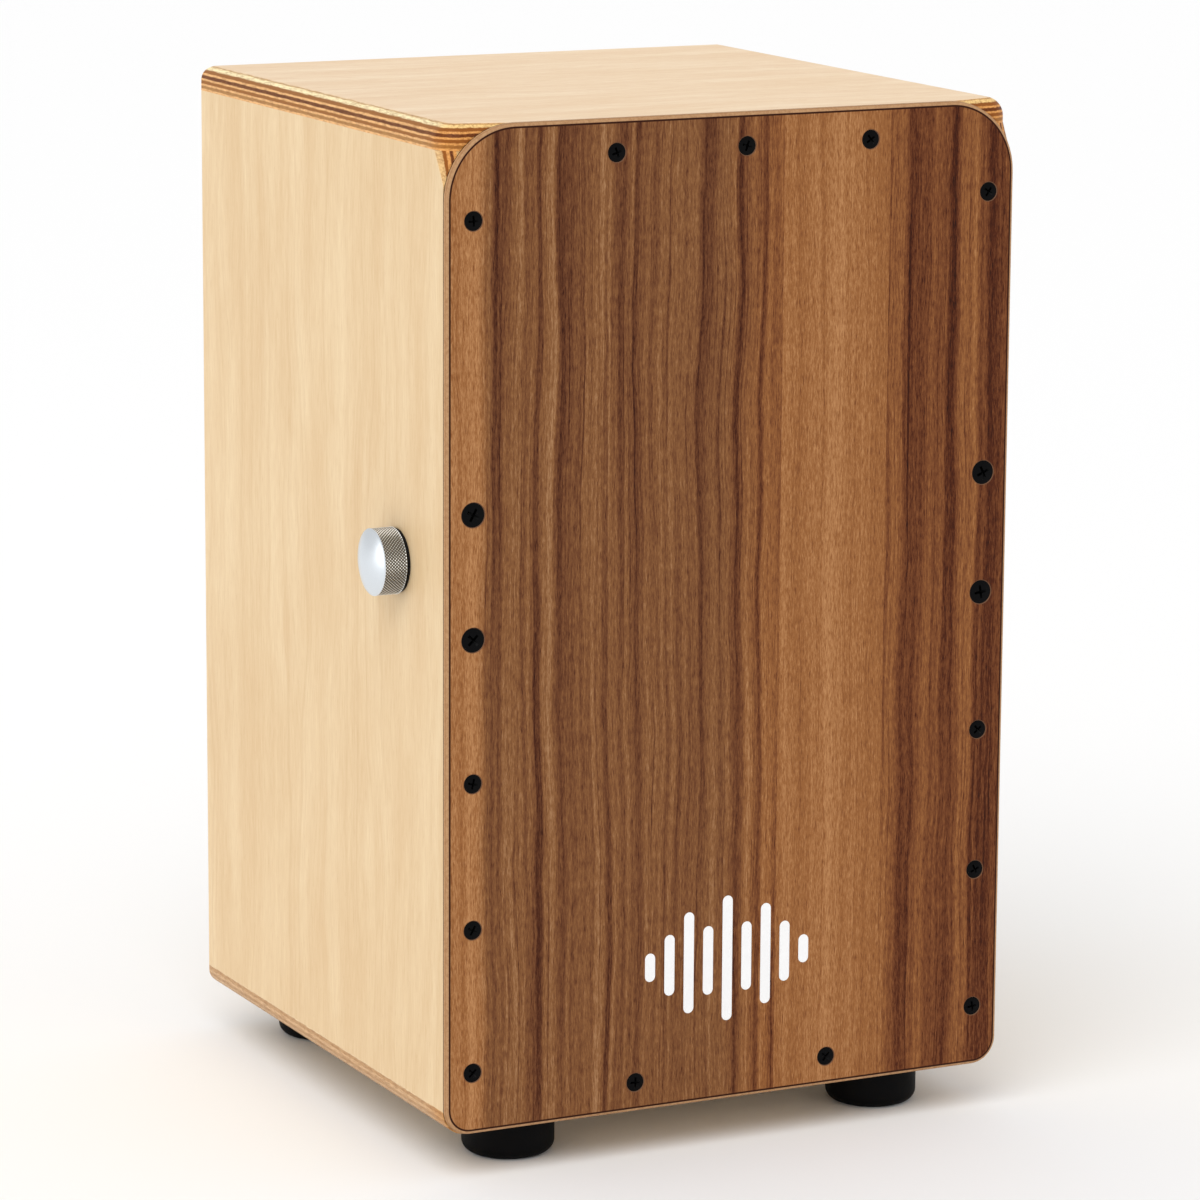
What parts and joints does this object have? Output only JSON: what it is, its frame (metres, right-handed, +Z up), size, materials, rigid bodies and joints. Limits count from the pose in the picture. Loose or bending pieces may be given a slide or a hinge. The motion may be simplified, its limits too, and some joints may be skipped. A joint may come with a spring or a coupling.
{
  "type": "cajon",
  "caption": "Plywood box drum that is sat on, with a screwed walnut-faced front plate, a rear sound hole, rubber feet and a side knob that tips snare strands off the plate.",
  "frame": {"origin": "middle of the floor rectangle that the body and its side knob cover together, on the floor; the body's own middle plane is at x = +8.45 mm, half the knob's projection", "axes": "+Z up through the seat, -Y towards the listener out of the front plate, +Y out of the rear sound hole, -X out of the side that carries the knob"},
  "size_m": [0.317, 0.2951, 0.5],
  "materials": {
    "birch_ply": "satin clear lacquer over birch plywood",
    "walnut_ply": "satin lacquer over walnut veneer",
    "batten_wood": "raw planed softwood",
    "bar_wood": "planed beech",
    "black_nylon": "matte black nylon",
    "black_steel": "black oxide steel",
    "plated_steel": "zinc plated steel",
    "foot_rubber": "matte black moulded rubber",
    "knob_aluminium": "satin turned aluminium with a knurled grip",
    "brass_plate": "brushed brass",
    "snare_wire": "bright coiled steel wire"
  },
  "bodies": {
    "cabinet": {"seat": "birch_ply", "base": "birch_ply", "left_side": "birch_ply", "right_side": "birch_ply", "rear_panel": "birch_ply", "front_plate": "walnut_ply", "bearing_block_left": "batten_wood", "bearing_block_right": "batten_wood", "front_batten_top": "batten_wood", "front_batten_bottom": "batten_wood", "front_batten_left_upper": "batten_wood", "front_batten_left_lower": "batten_wood", "front_batten_right_upper": "batten_wood", "front_batten_right_lower": "batten_wood", "rear_batten_left": "batten_wood", "rear_batten_right": "batten_wood", "rear_batten_top": "batten_wood", "rear_batten_bottom": "batten_wood", "knob_bush": "black_nylon", "pivot_bush": "black_nylon", "front_screws_small": "black_steel", "front_screws_large": "black_steel", "foot_washers": "plated_steel", "foot_screws": "plated_steel", "foot_front_left": "foot_rubber", "foot_front_right": "foot_rubber", "foot_rear_left": "foot_rubber", "foot_rear_right": "foot_rubber"},
    "snare_rotor": {"knob": "knob_aluminium", "knob_set_screw": "plated_steel", "spindle": "plated_steel", "friction_washer": "black_nylon", "snare_bar": "bar_wood", "pivot_pin": "plated_steel", "cross_pins": "plated_steel", "snare_bracket_left": "plated_steel", "snare_bracket_right": "plated_steel", "snare_end_plate_left": "brass_plate", "snare_end_plate_right": "brass_plate", "snare_strands_left": "snare_wire", "snare_strands_right": "snare_wire", "end_plate_screws": "plated_steel", "end_plate_nuts": "plated_steel", "bracket_screws": "plated_steel"}
  },
  "joints": [
    {"name": "snare_knob_turn", "type": "hinge", "parent": "cabinet", "child": "snare_rotor", "pos_m": [0, -0.093, 0.29], "axis": [1, 0, 0], "range_deg": [-35, 0]}
  ]
}
